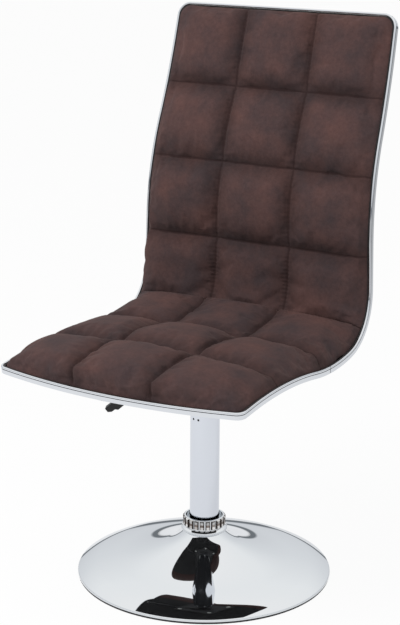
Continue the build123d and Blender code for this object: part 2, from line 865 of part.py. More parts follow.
def handle_form(*outline):
    """One convex form of the handle: a side outline cut to its plan, with rounded edges."""
    with BuildPart() as form:
        with BuildSketch(handle_plane):
            with BuildLine():
                Polyline(*outline, close=True)
            make_face()
        extrude(amount=handle_tip_width, both=True)
        with BuildSketch(handle_top_plane):
            with BuildLine():
                Polyline(
                    (0, -handle_root_width / 2),
                    (handle_length, -handle_tip_width / 2),
                    (handle_length, handle_tip_width / 2),
                    (0, handle_root_width / 2),
                    close=True,
                )
            make_face()
        extrude(amount=handle_length, both=True, mode=Mode.INTERSECT)
        fillet(form.edges(), handle_round)
    return form.part


grip_form = handle_form(
    (0, -handle_root_height / 2),
    (0, handle_root_height / 2),
    (handle_overlap, handle_half),
    (tip_root + handle_step_length, handle_half),
    (tip_root + handle_step_length, tip_low),
    (tip_root, -handle_half),
)
tip_form = handle_form(
    (handle_overlap, handle_half),
    (handle_length, handle_half),
    (handle_length, 0),
    (handle_length - handle_tip_bevel, tip_low),
    (handle_overlap, tip_low),
)
with BuildPart() as lever_handle:
    add(grip_form)
    add(tip_form)
    with BuildSketch(Plane(origin=handle_root, z_dir=droop_axis)):
        Circle(lever_rod_radius + sleeve_fit)
    extrude(amount=handle_overlap + sleeve_fit, mode=Mode.SUBTRACT)
save(lever_handle.part, "lever_handle")

# --- Chrome edge trim in two lengths with a butt joint, and the black piping inside it ---

bead_inner = 2 * bead_radius - bead_proud
with BuildPart() as bead:
    add(shell_layer(-bead_proud, -bead_radius, bead_radius))
    add(shell_layer(bead_inner, -cut_below / 2, cut_below / 2), mode=Mode.SUBTRACT)
    fillet(bead.edges().filter_by(lambda edge: edge.length > bead_edge_least), bead_round)
with BuildPart() as trim:
    add(shell_layer(0, -trim_depth, 0))
    add(shell_layer(trim_thickness, -cut_below / 2, cut_below / 2), mode=Mode.SUBTRACT)
    add(bead.part)
for name, keep, shift in (("trim_seat", Keep.TOP, -0.5), ("trim_back", Keep.BOTTOM, 0.5)):
    with BuildPart() as trim_length:
        add(trim.part)
        split(bisect_by=shell_plane(trim_joint_distance + shift * trim_joint_gap), keep=keep)
    save(trim_length.part, name)

piping_outer = bead_inner + edge_fit
with BuildPart() as edge_piping:
    add(shell_layer(piping_outer, board_front + piping_fit, piping_rise))
    add(shell_layer(piping_outer + piping_width, -cut_below / 2, cut_below / 2), mode=Mode.SUBTRACT)
save(edge_piping.part, "edge_piping")

# --- Quilted pads: rows of pillows, lofted through sections across the shell ---

pad_inset = piping_outer + piping_width + pad_edge_gap
pad_base = board_front + pad_fit


def pad_section(distance, swell, side, seam_height, valley_rise, seam_crown, crown_rise):
    """Draw one section of a pad: drawn-in sides and a row of crowned tiles between the seams."""
    plane = shell_plane(distance)
    half = half_width_at(plane.origin.Z) - pad_inset - pad_side_bulge - pad_draw_in * (1 - swell)
    valley = seam_height + valley_rise * swell
    crown = seam_crown + crown_rise * swell
    shoulder = half - pad_shoulder
    seams = [half * (2 * k / pad_columns - 1) for k in range(1, pad_columns)]
    tops = [(-shoulder, side), *[(x, valley) for x in seams], (shoulder, side)]
    with BuildSketch(plane) as section:
        with BuildLine():
            ThreePointArc((-half, -pad_root), (-half - pad_side_bulge / 2, side / 3), tops[0])
            for left, right in zip(tops[:-1], tops[1:]):
                middle = ((left[0] + right[0]) / 2, (left[1] + right[1]) / 2 + crown)
                ThreePointArc(left, middle, right)
            ThreePointArc(tops[-1], (half + pad_side_bulge / 2, side / 3), (half, -pad_root))
            Line((half, -pad_root), (-half, -pad_root))
        make_face()
    return section.sketch


def quilted_pad(row_ends, side_heights, side_rises, *heights):
    """Loft one pillow row after another between the seams that run across the shell."""
    with BuildPart() as pad:
        for row, side_rise in enumerate(side_rises):
            start, end = row_ends[row : row + 2]
            start_side, end_side = side_heights[row : row + 2]
            for share in row_stations:
                swell = sqrt(sin(radians(180 * share)))
                side = start_side + share * (end_side - start_side) + side_rise * swell
                add(pad_section(start + share * (end - start), swell, side, *heights))
            add(pad_section(end, 0.0, end_side, *heights))
            loft(ruled=True)
    return pad.part


seat_rows = (0.0, *seat_seams, crease_distance)
seat_heights = (
    seat_seam_height,
    seat_valley_height - seat_seam_height,
    seat_seam_crown,
    seat_crown - seat_seam_crown,
)
with BuildPart() as nose_form:
    with BuildSketch(nose_plane.offset(-cut_below / 2)):
        with BuildLine():
            draw_plan(pad_inset)
        make_face()
    extrude(amount=cut_below / 2 + seat_nose_height)
    nose_edges = nose_form.faces().sort_by(nose_normal_axis)[-1].edges().filter_by(
        lambda edge: edge.center().Y < 0
    )
    fillet(nose_edges, seat_nose_roll)
with BuildPart() as seat_pad:
    add(quilted_pad(seat_rows, seat_side_heights, seat_side_rises, *seat_heights))
    add(nose_form.part, mode=Mode.INTERSECT)
    add(shell_layer(pad_inset, pad_base, pad_headroom), mode=Mode.INTERSECT)
save(seat_pad.part, "seat_pad")

pad_end = top_distance - pad_top_gap
first_seam = crease_distance + back_first_row
even_row = (pad_end - first_seam) / back_even_rows
back_rows = (crease_distance, *[first_seam + row * even_row for row in range(back_even_rows)], pad_end)
back_heights = (
    back_seam_height,
    back_valley_height - back_seam_height,
    back_seam_crown,
    back_crown - back_seam_crown,
)
with BuildPart() as back_pad:
    add(quilted_pad(back_rows, back_side_heights, back_side_rises, *back_heights))
    add(shell_layer(pad_inset, pad_base, pad_headroom), mode=Mode.INTERSECT)
save(back_pad.part, "back_pad")
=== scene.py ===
from math import asin, cos, radians, sin, tau

import bmesh
import bpy
import numpy as np
from mathutils import Matrix, Vector


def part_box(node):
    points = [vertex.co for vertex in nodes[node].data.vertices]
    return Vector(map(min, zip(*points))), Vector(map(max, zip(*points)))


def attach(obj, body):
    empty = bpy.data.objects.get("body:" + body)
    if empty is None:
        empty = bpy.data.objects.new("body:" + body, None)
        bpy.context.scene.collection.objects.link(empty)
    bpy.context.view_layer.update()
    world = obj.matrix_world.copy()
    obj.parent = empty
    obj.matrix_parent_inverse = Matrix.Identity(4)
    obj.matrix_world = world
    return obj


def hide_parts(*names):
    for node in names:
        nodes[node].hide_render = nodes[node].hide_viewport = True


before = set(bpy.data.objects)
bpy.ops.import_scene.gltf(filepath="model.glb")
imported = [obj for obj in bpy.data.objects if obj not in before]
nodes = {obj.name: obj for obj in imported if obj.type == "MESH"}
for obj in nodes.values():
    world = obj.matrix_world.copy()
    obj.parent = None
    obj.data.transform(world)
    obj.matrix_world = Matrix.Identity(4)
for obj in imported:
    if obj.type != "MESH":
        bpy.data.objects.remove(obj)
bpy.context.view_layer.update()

# ---------------------------------------------------------------------------
# Trumpet base: a disc of steel spun over a former, polished and chromed.
# Its rim is rolled down onto a black rubber ring, and its neck takes the column.
# ---------------------------------------------------------------------------


def linear(hex_colour):
    """Turn an sRGB hex value into the linear colour that shaders use."""
    channels = [int(hex_colour[i : i + 2], 16) / 255 for i in (1, 3, 5)]
    return tuple(c / 12.92 if c <= 0.04045 else ((c + 0.055) / 1.055) ** 2.4 for c in channels) + (1.0,)


def add_node(tree, kind, settings=None, links=None):
    """Add a shader node, give it its settings, and link its inputs."""
    node = tree.nodes.new(kind)
    for name, value in (settings or {}).items():
        if isinstance(name, int) or name in node.inputs:
            node.inputs[name].default_value = value
        else:
            setattr(node, name, value)
    for name, source in (links or {}).items():
        tree.links.new(source, node.inputs[name])
    return node


def new_material(name):
    """An empty node material with its output, ready for a finish."""
    material = bpy.data.materials.new(name)
    material.use_nodes = True
    tree = material.node_tree
    tree.nodes.clear()
    output = tree.nodes.new("ShaderNodeOutputMaterial")
    return material, tree, output


def polished_chrome(name, tint, grit):
    """Bright chrome plate: a mirror with faint polishing haze that varies over a few centimetres."""
    material, tree, output = new_material(name)
    place = add_node(tree, "ShaderNodeTexCoord").outputs["Object"]
    haze = add_node(tree, "ShaderNodeTexNoise", {"Scale": 30.0, "Detail": 3.0}, {"Vector": place})
    rough = add_node(
        tree,
        "ShaderNodeMapRange",
        {"From Min": 0.3, "From Max": 0.7, "To Min": grit, "To Max": grit * 2.0},
        {"Value": haze.outputs["Fac"]},
    )
    shader = add_node(
        tree,
        "ShaderNodeBsdfPrincipled",
        {"Base Color": linear(tint), "Metallic": 1.0},
        {"Roughness": rough.outputs["Result"]},
    )
    tree.links.new(shader.outputs["BSDF"], output.inputs["Surface"])
    return material


def finish_piece(name, mesh_data, body, material, stands_for=()):
    """Make an object of a finished bmesh, smooth it, and fix it to its body."""
    bmesh.ops.remove_doubles(mesh_data, verts=mesh_data.verts, dist=1e-6)
    bmesh.ops.recalc_face_normals(mesh_data, faces=mesh_data.faces)
    mesh = bpy.data.meshes.new(name)
    mesh_data.to_mesh(mesh)
    mesh_data.free()
    piece = bpy.data.objects.new(name, mesh)
    bpy.context.scene.collection.objects.link(piece)
    mesh.materials.append(material)
    for polygon in mesh.polygons:
        polygon.use_smooth = True
    mesh.set_sharp_from_angle(angle=radians(32))
    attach(piece, body)
    if stands_for:
        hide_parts(*stands_for)
    return piece


def run_points(start, heading, runs, step):
    """Walk along straight runs and tangent arcs, (radius, turn) or (length, 0), and list the points."""
    x, z = start
    points = [(x, z)]
    for size, turn in runs:
        count = max(1, round(abs(turn) / step)) if turn else 1
        for _ in range(count):
            if turn:
                part = turn / count
                chord = 2 * size * sin(radians(abs(part) / 2))
                heading += part / 2
                x += chord * cos(radians(heading))
                z += chord * sin(radians(heading))
                heading += part / 2
            else:
                x += size * cos(radians(heading))
                z += size * sin(radians(heading))
            points.append((x, z))
    return points


def spun(profile, segments):
    """Spin a profile of (radius, height) points about the column's axis."""
    mesh_data = bmesh.new()
    verts = [mesh_data.verts.new((x, 0, z)) for x, z in profile]
    edges = [mesh_data.edges.new(pair) for pair in zip(verts[:-1], verts[1:])]
    bmesh.ops.spin(
        mesh_data,
        geom=verts + edges,
        cent=(0, 0, 0),
        axis=(0, 0, 1),
        angle=tau,
        steps=segments,
        use_merge=True,
    )
    return mesh_data


base_radius, neck_radius, trumpet_steps = 0.220, 0.0256, 192
trumpet_runs = [
    (0.0015, 0),
    (0.003, 60.0),
    (0.116, 17.0),
    (0.540, 4.0),
    (0.337, -15.0),
    (0.075, -31.0),
    (0.006, -35.0),
    (0.003, 90.0),
]
trumpet_outer = run_points((base_radius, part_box("base_trumpet")[0].z), 90.0, trumpet_runs, 0.5)
base_chrome = polished_chrome("spun_chrome", "#e6e8ea", 0.012)
finish_piece(
    "spun_trumpet",
    spun(trumpet_outer + [(neck_radius, trumpet_outer[-1][1])], trumpet_steps),
    "base",
    base_chrome,
    ["base_trumpet"],
)

# ---------------------------------------------------------------------------
# Foot ring and ballast: a soft black rubber ring pushed up inside the rolled rim,
# which shows as a dark line at the floor, and a lacquered steel plate over it.
# ---------------------------------------------------------------------------


def plain_finish(name, colour, roughness, metallic=0.0, grain=0.0, grain_size=0.001):
    """A plain moulded, painted or plated finish, with a fine surface grain where it has one."""
    material, tree, output = new_material(name)
    shader = add_node(
        tree,
        "ShaderNodeBsdfPrincipled",
        {"Base Color": linear(colour), "Metallic": metallic, "Roughness": roughness},
    )
    if grain:
        place = add_node(tree, "ShaderNodeTexCoord").outputs["Object"]
        fineness = {"Scale": 1 / grain_size, "Detail": 2.0}
        speckle = add_node(tree, "ShaderNodeTexNoise", fineness, {"Vector": place})
        bump = add_node(
            tree,
            "ShaderNodeBump",
            {"Strength": grain, "Distance": grain_size / 3},
            {"Height": speckle.outputs["Fac"]},
        )
        tree.links.new(bump.outputs["Normal"], shader.inputs["Normal"])
    tree.links.new(shader.outputs["BSDF"], output.inputs["Surface"])
    return material


def refinish(material, *names):
    """Give CAD nodes that keep their own shape a new finish, with their sharp edges kept."""
    for name in names:
        mesh = nodes[name].data
        mesh.materials.clear()
        mesh.materials.append(material)


moulded_rubber = plain_finish("moulded_rubber", "#17181a", 0.6, grain=0.3, grain_size=0.0008)
refinish(moulded_rubber, "rim_ring", "rubber_bumper")
lacquered_steel = plain_finish("lacquered_steel", "#1c1d1f", 0.4, grain=0.2, grain_size=0.002)
refinish(lacquered_steel, "ballast_plate")

# ---------------------------------------------------------------------------
# Column: a two-inch steel tube, chromed, that stands in the trumpet's neck.
# Two punch marks near the top hold the black guide bush inside it.
# ---------------------------------------------------------------------------
column_chrome = polished_chrome("column_chrome", "#dfe2e8", 0.05)
tube_radius, tube_wall, tube_round, tube_steps = 0.0254, 0.0015, 0.0004, 192
tube_low, tube_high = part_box("stand_tube")[0].z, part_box("stand_tube")[1].z
tube_profile = [
    (tube_radius, tube_low),
    (tube_radius, tube_high - tube_round),
    (tube_radius - tube_round, tube_high),
    (tube_radius - tube_wall, tube_high),
    (tube_radius - tube_wall, tube_low),
    (tube_radius, tube_low),
]
column = finish_piece(
    "drawn_tube", spun(tube_profile, tube_steps), "base", column_chrome, ["stand_tube"]
)


def bake_modifiers(piece):
    """Replace the piece's mesh by what its modifiers make of it."""
    depsgraph = bpy.context.evaluated_depsgraph_get()
    mesh = bpy.data.meshes.new_from_object(piece.evaluated_get(depsgraph))
    piece.modifiers.clear()
    piece.data = mesh


# Each mark is a round pocket knocked into the wall, painted dark as shade.
punch_radius, punch_depth, punch_drop = 0.002, 0.001, 0.020
punch_angles = (-109.5, -86.0)
punch_painted_shade = plain_finish("punch_painted_shade", "#1b1a1a", 0.6)
column.data.materials.append(punch_painted_shade)
for angle in map(radians, punch_angles):
    punch_data = bmesh.new()
    bmesh.ops.create_cone(
        punch_data,
        cap_ends=True,
        segments=24,
        radius1=punch_radius,
        radius2=punch_radius,
        depth=2 * punch_depth,
        matrix=Matrix.Rotation(angle, 4, "Z")
        @ Matrix.Translation((tube_radius, 0, tube_high - punch_drop))
        @ Matrix.Rotation(radians(90), 4, "Y"),
    )
    punch_mesh = bpy.data.meshes.new("punch")
    punch_data.to_mesh(punch_mesh)
    punch_data.free()
    punch_mesh.materials.append(punch_painted_shade)
    punch = bpy.data.objects.new("punch", punch_mesh)
    bpy.context.scene.collection.objects.link(punch)
    cut = column.modifiers.new("punch", "BOOLEAN")
    cut.operation = "DIFFERENCE"
    cut.solver = "EXACT"
    cut.material_mode = "TRANSFER"
    cut.object = punch
    bake_modifiers(column)
    bpy.data.objects.remove(punch)

# ---------------------------------------------------------------------------
# Gas spring: a chromed pressure tube that slides in the column's black bush, with
# turned steel pieces inside it. It shows when the seat is raised.
# ---------------------------------------------------------------------------
spring_radius, spring_tip_radius, spring_bore, spring_taper = 0.014, 0.0132, 0.0125, 0.034
spring_low, spring_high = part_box("pressure_cylinder")[0].z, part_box("pressure_cylinder")[1].z
spring_profile = [
    (spring_bore, spring_low),
    (spring_radius, spring_low),
    (spring_radius, spring_high - spring_taper),
    (spring_tip_radius, spring_high),
    (spring_bore, spring_high),
    (spring_bore, spring_low),
]
finish_piece(
    "spring_tube", spun(spring_profile, 96), "seat", column_chrome, ["pressure_cylinder"]
)
black_nylon = plain_finish("black_nylon", "#1a1a1b", 0.5, grain=0.3, grain_size=0.0006)
refinish(black_nylon, "guide_bush", "ball_cage")
turned_steel = plain_finish("turned_steel", "#8f9194", 0.35, metallic=1.0)
refinish(
    turned_steel,
    "tube_foot",
    "thrust_washer_lower",
    "thrust_washer_upper",
    "thrust_balls",
    "retaining_clip",
    "piston_rod",
    "gas_piston",
    "rod_gland",
    "valve_block",
    "release_pin",
    "pivot_pin",
)

# ---------------------------------------------------------------------------
# Collar: a chromed ring that drops over the neck and hides the joint.
# Foil-backed cut stones are set round its wall.
# ---------------------------------------------------------------------------
collar_low, collar_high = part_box("collar_ring")[0].z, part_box("collar_ring")[1].z
lip_radius, lip_drop, lip_seat = 0.003, 0.0046, 0.0004
collar_wall, wall_offset, wall_foot, collar_round = 0.003, 0.0011, 0.0006, 0.001
lip_centre = (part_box("collar_ring")[1].x - lip_radius, collar_low + lip_radius)
seat_radius = lip_centre[0] - lip_radius - lip_seat
collar_base = lip_centre[1] + lip_drop
wall_outer = seat_radius + wall_offset
wall_inner = wall_outer - collar_wall


def arc_points(centre, radius, first, last, count):
    """Points along an arc, from one angle in degrees to another."""
    angles = [radians(first + (last - first) * k / count) for k in range(count + 1)]
    return [(centre[0] + radius * cos(a), centre[1] + radius * sin(a)) for a in angles]


collar_profile = [
    *arc_points(lip_centre, lip_radius, 180, 405, 22),
    (wall_outer, collar_base + wall_foot),
    *arc_points((wall_outer - collar_round, collar_high - collar_round), collar_round, 0, 90, 6),
    *arc_points((wall_inner + collar_round, collar_high - collar_round), collar_round, 90, 180, 6),
    (wall_inner, collar_base),
    (seat_radius, collar_base),
    (lip_centre[0] - lip_radius, lip_centre[1]),
]
finish_piece(
    "turned_collar", spun(collar_profile, tube_steps), "base", base_chrome, ["collar_ring"]
)


def cut_stone():
    """Clear cut glass over silver foil, with its reflections painted: bright facets painted as highlights
    between dark facets painted as shade.
    """
    material, tree, output = new_material("cut_stone")
    facet = add_node(tree, "ShaderNodeAttribute", {"attribute_name": "facet_painted_reflection"})
    tone = add_node(tree, "ShaderNodeValToRGB", {}, {"Fac": facet.outputs["Fac"]})
    # painted reflection colours: dark for facets in shade, bright for highlights, grey between
    tone.color_ramp.elements[0].color = linear("#2e2623")
    tone.color_ramp.elements[1].color = linear("#fbfaf8")
    middle = tone.color_ramp.elements.new(0.5)
    middle.color = linear("#8d817a")
    shader = add_node(
        tree,
        "ShaderNodeBsdfPrincipled",
        {"Metallic": 0.75, "Roughness": 0.08},
        {"Base Color": tone.outputs["Color"]},
    )
    tree.links.new(shader.outputs["BSDF"], output.inputs["Surface"])
    return material


# Each stone is a tall step cut: a girdle, four sloping facets, and a table that is cut in three.
stone_count, stone_width, stone_height, stone_bevel = 22, 0.0082, 0.016, 0.0022
stone_girdle, stone_rise, stone_hollow = 0.0008, 0.0016, 0.0004
stone_middle = (collar_base + wall_foot + collar_high) / 2
stone_data = bmesh.new()
bmesh.ops.create_cube(stone_data, size=1.0)
bmesh.ops.scale(stone_data, verts=stone_data.verts, vec=(stone_girdle, stone_width, stone_height))
table = max(stone_data.faces, key=lambda face: face.calc_center_median().x)
bmesh.ops.inset_region(stone_data, faces=[table], thickness=stone_bevel, depth=stone_rise)
uprights = [edge for edge in table.edges if edge.calc_length() > stone_height / 2]
bmesh.ops.subdivide_edges(stone_data, edges=uprights, cuts=2, use_grid_fill=True)
table_height = stone_girdle / 2 + stone_rise
inner = [v for v in stone_data.verts if v.co.x > table_height - 1e-5 and abs(v.co.z) < stone_height / 4]
bmesh.ops.translate(stone_data, verts=inner, vec=(-stone_hollow, 0, 0))
# Each facet's colour is a painted reflection set by its direction: the sides dark as shade, the ends bright
# as highlights, the table's middle grey.
side_painted_shade, end_painted_highlight, table_painted_reflection = 0.08, 0.85, 0.45
facet_painted_reflections = []
for face in stone_data.faces:
    face.normal_update()
    side, end = abs(face.normal.y) > 0.3, abs(face.calc_center_median().z) > stone_height / 8
    facet_painted_reflections.append(side_painted_shade if side else end_painted_highlight if end else table_painted_reflection)
stone_mesh = bpy.data.meshes.new("stone")
stone_data.to_mesh(stone_mesh)
stones_data = bmesh.new()
for index in range(stone_count):
    set_place = Matrix.Translation((wall_outer + stone_girdle / 2, 0, stone_middle))
    stone_mesh.transform(Matrix.Rotation(tau * index / stone_count, 4, "Z") @ set_place)
    stones_data.from_mesh(stone_mesh)
    stone_data.to_mesh(stone_mesh)
painted_reflection_layer = stones_data.faces.layers.float.new("facet_painted_reflection")
chance = np.random.default_rng(22)
stones_data.faces.ensure_lookup_table()
# each facet's painted reflection is shifted a little at random
for face in stones_data.faces:
    tone = facet_painted_reflections[face.index % len(facet_painted_reflections)] + chance.uniform(-0.18, 0.15)
    face[painted_reflection_layer] = float(np.clip(tone, 0, 1))
stone_data.free()
stones = finish_piece("cut_stones", stones_data, "base", cut_stone(), ["collar_stones"])
for polygon in stones.data.polygons:
    polygon.use_smooth = False

# ---------------------------------------------------------------------------
# Seat mechanism: pressed steel plate, housing and socket, black powder coat.
# Zinc-plated bolts hold it up into the seat's board.
# ---------------------------------------------------------------------------
powder_coat = plain_finish("powder_coat", "#18181a", 0.45, grain=0.4, grain_size=0.0012)
refinish(powder_coat, "seat_plate", "lever_housing", "hub_socket", "lever_rod")
zinc_plate = plain_finish("zinc_plate", "#b9bab6", 0.38, metallic=1.0, grain=0.1)
refinish(zinc_plate, "mounting_bolts", "bolt_washers", "tee_nuts")

# The lever's handle is a black moulding pushed onto the bent rod.
lever_plastic = plain_finish("lever_plastic", "#161617", 0.42, grain=0.3, grain_size=0.0008)
refinish(lever_plastic, "lever_handle")


# ---------------------------------------------------------------------------
# Shell: one plywood board pressed into the seat-and-back curve, with a level
# block under the seat, both stained black. The upholstery is bent along it.
# ---------------------------------------------------------------------------
stained_ply = plain_finish("stained_ply", "#1d1a19", 0.7, grain=0.5, grain_size=0.0015)
refinish(stained_ply, "shell_board", "mounting_block")

shell_start = (-0.295, 0.4026)
nose_rise = 7.0
shell_runs = [
    (0.058, 0),
    (0.760, -15.5),
    (0.356, 19.9),
    (0.091, 78.6),
    (0.079, 0),
    (0.484, -21.5),
    (1.290, 7.0),
    (0.046, 0),
]
line_step = 0.00025
knots, headings = [0.0], [nose_rise]
for size, turn in shell_runs:
    knots.append(knots[-1] + (size * radians(abs(turn)) if turn else size))
    headings.append(headings[-1] + turn)
line_s = np.arange(0, knots[-1] + 0.02, line_step)
line_h = np.radians(np.interp(line_s, knots, headings))
line_y = shell_start[0] + np.concatenate(([0], np.cumsum(np.cos(line_h[:-1])))) * line_step
line_z = shell_start[1] + np.concatenate(([0], np.cumsum(np.sin(line_h[:-1])))) * line_step


def bend(flat):
    """Bend flat upholstery (across, along, out) onto the shell's curve."""
    across, along, out = flat[:, 0], flat[:, 1], flat[:, 2]
    heading = np.interp(along, line_s, line_h)
    y = np.interp(along, line_s, line_y) - out * np.sin(heading)
    z = np.interp(along, line_s, line_z) + out * np.cos(heading)
    before = np.minimum(along, 0)
    y += before * np.cos(radians(nose_rise))
    z += before * np.sin(radians(nose_rise))
    return np.stack([across, y, z], 1)


def unbend(points):
    """The flat (across, along, out) place of points near the shell."""
    coarse = slice(0, len(line_s), 8)
    nearest = np.zeros(len(points), int)
    for first in range(0, len(points), 4096):
        part = points[first : first + 4096]
        gap = (part[:, 1:2] - line_y[coarse]) ** 2 + (part[:, 2:3] - line_z[coarse]) ** 2
        nearest[first : first + 4096] = gap.argmin(1) * 8
    for _ in range(3):
        heading = line_h[nearest]
        dy, dz = points[:, 1] - line_y[nearest], points[:, 2] - line_z[nearest]
        ahead = dy * np.cos(heading) + dz * np.sin(heading)
        nearest = np.clip(nearest + np.round(ahead / line_step / 2).astype(int), 0, len(line_s) - 1)
    heading = line_h[nearest]
    dy, dz = points[:, 1] - line_y[nearest], points[:, 2] - line_z[nearest]
    along = line_s[nearest] + dy * np.cos(heading) + dz * np.sin(heading)
    out = dz * np.cos(heading) - dy * np.sin(heading)
    return np.stack([points[:, 0], along, out], 1)


def vertex_places(mesh):
    """Every vertex of a mesh, as rows of x, y and z."""
    places = np.zeros(len(mesh.vertices) * 3)
    mesh.vertices.foreach_get("co", places)
    return places.reshape(-1, 3)


def merged_copy(name, node):
    """A copy of a CAD node's mesh with its loose triangles joined."""
    mesh_data = bmesh.new()
    mesh_data.from_mesh(nodes[node].data)
    bmesh.ops.remove_doubles(mesh_data, verts=mesh_data.verts, dist=1e-5)
    mesh = bpy.data.meshes.new(name)
    mesh_data.to_mesh(mesh)
    mesh_data.free()
    piece = bpy.data.objects.new(name, mesh)
    bpy.context.scene.collection.objects.link(piece)
    return piece


# ---------------------------------------------------------------------------
# Pads: cut foam under one microfibre cover, sewn through along the seams so
# that each square swells. The cover is a brushed, vintage-look suede cloth.
# ---------------------------------------------------------------------------
def vintage_microfibre(name):
    """Brushed polyester suede: matt, worn redder and paler in cloudy patches, with painted shade in its
    seams' creases and painted light on its crowns.
    """
    material, tree, output = new_material(name)
    place = add_node(tree, "ShaderNodeTexCoord").outputs["Object"]
    # worn patches are about 70 mm across; the nap is drawn far coarser than it is, at 6 mm, to show
    clouds = add_node(
        tree,
        "ShaderNodeTexNoise",
        {"Scale": 14.0, "Detail": 6.0, "Roughness": 0.6},
        {"Vector": place},
    )
    cloud_tone = add_node(tree, "ShaderNodeValToRGB", {}, {"Fac": clouds.outputs["Fac"]})
    cloud_tone.color_ramp.elements[0].position = 0.34
    cloud_tone.color_ramp.elements[0].color = linear("#3d3233")
    cloud_tone.color_ramp.elements[1].position = 0.68
    cloud_tone.color_ramp.elements[1].color = linear("#533c39")
    nap = add_node(
        tree,
        "ShaderNodeTexNoise",
        {"Scale": 160.0, "Detail": 6.0, "Roughness": 0.75},
        {"Vector": place},
    )
    nap_tone = add_node(
        tree,
        "ShaderNodeMapRange",
        {"From Min": 0.3, "From Max": 0.7, "To Min": 0.82, "To Max": 1.18},
        {"Value": nap.outputs["Fac"]},
    )
    # painted light and shade: the crowns are painted paler and the cloth near each seam darker, and each
    # seam's crease gets a painted dark line by its distance
    crown_and_seam_painted_light, row_crease_painted_shade, column_crease_painted_shade = [
        add_node(
            tree,
            "ShaderNodeMapRange",
            {
                "interpolation_type": "SMOOTHSTEP",
                "From Min": near,
                "From Max": far,
                "To Min": low,
                "To Max": high,
            },
            {"Value": add_node(tree, "ShaderNodeAttribute", {"attribute_name": gap}).outputs["Fac"]},
        )
        for gap, near, far, low, high in (
            ("seam_gap", 0.002, 0.035, 0.76, 1.08),
            ("row_gap", 0.0004, 0.0028, 0.65, 0.0),
            ("column_gap", 0.0004, 0.0036, 0.55, 0.0),
        )
    ]
    nap_and_painted_shade = add_node(
        tree,
        "ShaderNodeMath",
        {"operation": "MULTIPLY"},
        {0: nap_tone.outputs["Result"], 1: crown_and_seam_painted_light.outputs["Result"]},
    )
    patches_and_painted_shade = add_node(
        tree,
        "ShaderNodeVectorMath",
        {"operation": "SCALE"},
        {"Vector": cloud_tone.outputs["Color"], "Scale": nap_and_painted_shade.outputs["Value"]},
    )
    # the seams' creases are painted dark as shade
    line = add_node(
        tree,
        "ShaderNodeMath",
        {"operation": "MAXIMUM"},
        {0: row_crease_painted_shade.outputs["Result"], 1: column_crease_painted_shade.outputs["Result"]},
    )
    # the painted crease shade darkens the cloth along the seams
    sewn = add_node(
        tree,
        "ShaderNodeMixRGB",
        {"Color2": linear("#241615")},
        {"Color1": patches_and_painted_shade.outputs["Vector"], "Fac": line.outputs["Value"]},
    )
    bump = add_node(
        tree,
        "ShaderNodeBump",
        {"Strength": 0.35, "Distance": 0.0006},
        {"Height": nap.outputs["Fac"]},
    )
    shader = add_node(
        tree,
        "ShaderNodeBsdfPrincipled",
        {
            "Roughness": 0.85,
            "Sheen Weight": 0.14,
            "Sheen Roughness": 0.45,
            "Sheen Tint": linear("#b39a93"),
            "Specular IOR Level": 0.2,
        },
        {"Base Color": sewn.outputs["Color"], "Normal": bump.outputs["Normal"]},
    )
    tree.links.new(shader.outputs["BSDF"], output.inputs["Surface"])
    return material


pad_cloth = vintage_microfibre("vintage_microfibre")
pad_columns = 3
crease = 0.446
seat_rows = (0.143, 0.292)
back_first_row, back_even_row = 0.125, 0.1331
back_rows = [crease + back_first_row + row * back_even_row for row in range(3)]

# The edge of the shell: its widths and heights, the bow of its front and its corners' radii.
# It lies up to 4 mm outside the solids' edge at the top and front, where the photograph has it.
shell_width, top_width = 0.455, 0.426
taper_start, top_height = 0.430, 0.954
front_bow, front_corner, front_reach, top_corner = 1.045, 0.015, 0.0037, 0.024
side_step = 0.004
back_line = slice(int(crease / line_step), None)

# The foam under the cloth stops a little short of that edge, and the cloth is drawn out over it.
pad_inset, top_overhang = 0.0088, 0.0042
foam_bow, foam_top = 0.874, 0.950
front_ease, top_ease, full_height = 0.12, 0.06, 0.010
side_lift_places = (0.02, 0.08, 0.145, 0.19, 0.22, 0.27, 0.37, 0.43, 0.46, 0.60, 0.75, 0.96)
side_lifts = (0.0, 0.0045, 0.0050, 0.0010, 0.0010, 0.0042, 0.0040, 0.0005, 0.0025, 0.0045, 0.0015, 0.0)
squeezed_places, squeezed_up, squeezed_out = (crease, 0.482, 0.530, 0.590), 0.0045, 0.0036
tuck_reach = 0.028


def pad_half_width(along):
    """Half the foam's width at a distance along the shell, which tapers up the back."""
    height = np.interp(along, line_s, line_z)
    share = np.clip((height - taper_start) / (top_height - taper_start), 0, 1)
    return shell_width / 2 - share * (shell_width - top_width) / 2 - pad_inset


def half_outline(inset):
    """The right half of the shell's edge, drawn in by an inset: front middle to top middle."""
    half, bow, corner = shell_width / 2 - inset, front_bow - inset, front_corner - inset
    bow_end = asin((half - corner) / (bow - corner))
    turns = np.linspace(0, bow_end, 24)
    front = np.stack([bow * np.sin(turns), inset - front_reach + bow * (1 - np.cos(turns))], 1)
    centre = front[-1] + corner * np.array([-sin(bow_end), cos(bow_end)])
    turns = np.linspace(bow_end, radians(90), 16)[1:]
    low_corner = centre + corner * np.stack([np.sin(turns), -np.cos(turns)], 1)
    top, corner = top_height - inset, top_corner - inset
    slope = (shell_width - top_width) / 2 / (top_height - taper_start)
    turns = np.linspace(np.arctan(slope), radians(90), 16)
    corner_height = top - corner
    share = (corner_height - taper_start) / (top_height - taper_start)
    corner_middle = shell_width / 2 - share * (shell_width - top_width) / 2 - inset - corner
    heights = corner_height + corner * np.sin(turns)
    along = np.interp(heights, line_z[back_line], line_s[back_line])
    high_corner = np.stack([corner_middle + corner * np.cos(turns), along], 1)
    sides = np.arange(low_corner[-1, 1] + side_step, along[0], side_step)
    side = np.stack([pad_half_width(sides) + pad_inset - inset, sides], 1)
    return np.concatenate([front, low_corner, side, high_corner])


def whole_outline(inset):
    """The shell's edge all round, drawn in by an inset."""
    right = half_outline(inset)
    return np.concatenate([right[1:], right[::-1][:-1] * (-1, 1)])


